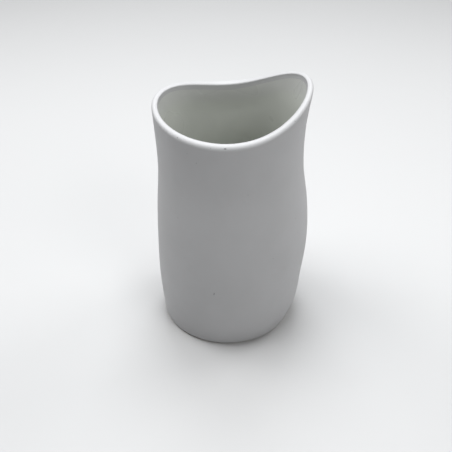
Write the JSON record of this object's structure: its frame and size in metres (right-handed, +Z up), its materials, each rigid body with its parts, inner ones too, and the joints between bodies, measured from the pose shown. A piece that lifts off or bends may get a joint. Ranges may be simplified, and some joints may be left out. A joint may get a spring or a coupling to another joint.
{
  "type": "flower vase",
  "caption": "Free-standing ceramic flower vase with a leaning belly, a soft waist and a wavy rounded lip; matte outside, satin glazed inside, on a bare foot ring.",
  "frame": {"origin": "on the table, under the middle of the vase's width and depth", "axes": "+Z up, +X towards the high side of the mouth, +Y away from the viewer"},
  "size_m": [0.1166, 0.1162, 0.1992],
  "materials": {
    "bare_stoneware": "matte",
    "matte_glaze": "matte",
    "satin_glaze": "satin"
  },
  "bodies": {
    "root": {"stoneware_body": "bare_stoneware", "outer_glaze": "matte_glaze", "inner_glaze": "satin_glaze", "base_glaze": "matte_glaze"}
  },
  "joints": []
}
